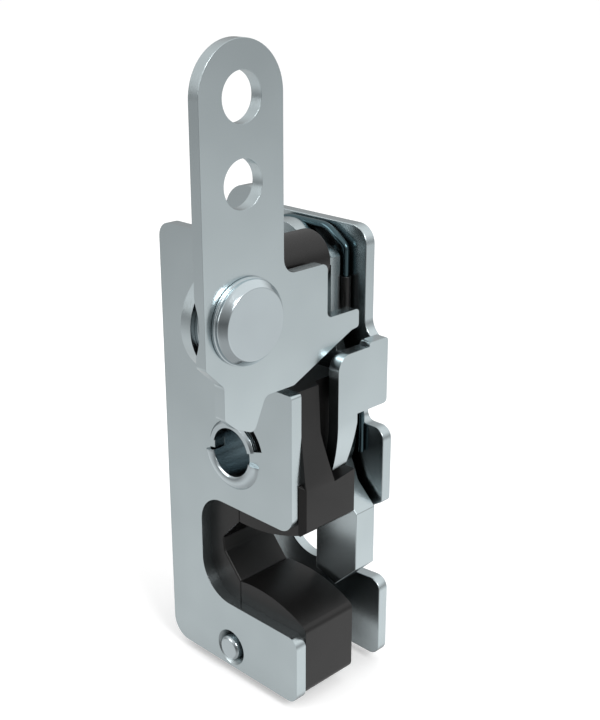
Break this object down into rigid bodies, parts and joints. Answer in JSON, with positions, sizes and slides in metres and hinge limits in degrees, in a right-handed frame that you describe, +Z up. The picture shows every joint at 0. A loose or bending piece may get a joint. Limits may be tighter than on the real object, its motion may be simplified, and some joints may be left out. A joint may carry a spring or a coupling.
{
  "type": "rotary latch",
  "caption": "Two-plate steel rotary latch, closed, with claw rotor, pawl, black plastic inserts and a cable trigger lever.",
  "frame": {"origin": "on the rotor bush's axis, in the near plate's outer face", "axes": "+X to the front, where the throat opens; +Y along the bush axis, from the near plate to the far plate; +Z up"},
  "size_m": [0.0306, 0.0373, 0.104],
  "materials": {
    "zinc_sheet": "satin",
    "steel_pins": "satin",
    "spring_steel": "gloss",
    "black_moulding": "matte"
  },
  "bodies": {
    "root": {"near_plate": "zinc_sheet", "far_plate": "zinc_sheet", "lever_rivet": "steel_pins", "lever_washer": "steel_pins", "rotor_bush": "steel_pins", "rotor_spacer": "black_moulding", "rotor_spring": "spring_steel", "pawl_pin": "steel_pins", "pawl_spacer": "steel_pins", "pawl_spring": "spring_steel", "spring_sleeve": "black_moulding", "stop_pin": "steel_pins", "stop_sleeve": "black_moulding", "upper_insert": "black_moulding", "throat_liner": "black_moulding", "lower_bumper": "black_moulding", "bumper_rivet": "steel_pins", "bumper_spacer": "steel_pins"},
    "claw": {"rotor": "zinc_sheet"},
    "catch": {"pawl": "zinc_sheet"},
    "trigger": {"trigger_lever": "zinc_sheet"}
  },
  "joints": [
    {"name": "rotor_swing", "type": "hinge", "parent": "root", "child": "claw", "pos_m": [0, 0.0161, 0], "axis": [0, -1, 0], "range_deg": [0, 55]},
    {"name": "pawl_release", "type": "hinge", "parent": "root", "child": "catch", "pos_m": [-0.0045, 0.0171, 0.026], "axis": [0, -1, 0], "range_deg": [0, 9], "stiffness_Nm_per_rad": 0.02},
    {"name": "lever_pull", "type": "hinge", "parent": "root", "child": "trigger", "pos_m": [0.0112, -0.00775, 0.0262], "axis": [-1, 0, 0], "range_deg": [0, 6.5]}
  ],
  "couplings": [
    {"joint": "pawl_release", "follows": "rotor_swing", "ratio": 0.16363},
    {"joint": "lever_pull", "follows": "rotor_swing", "ratio": 0.11818}
  ]
}
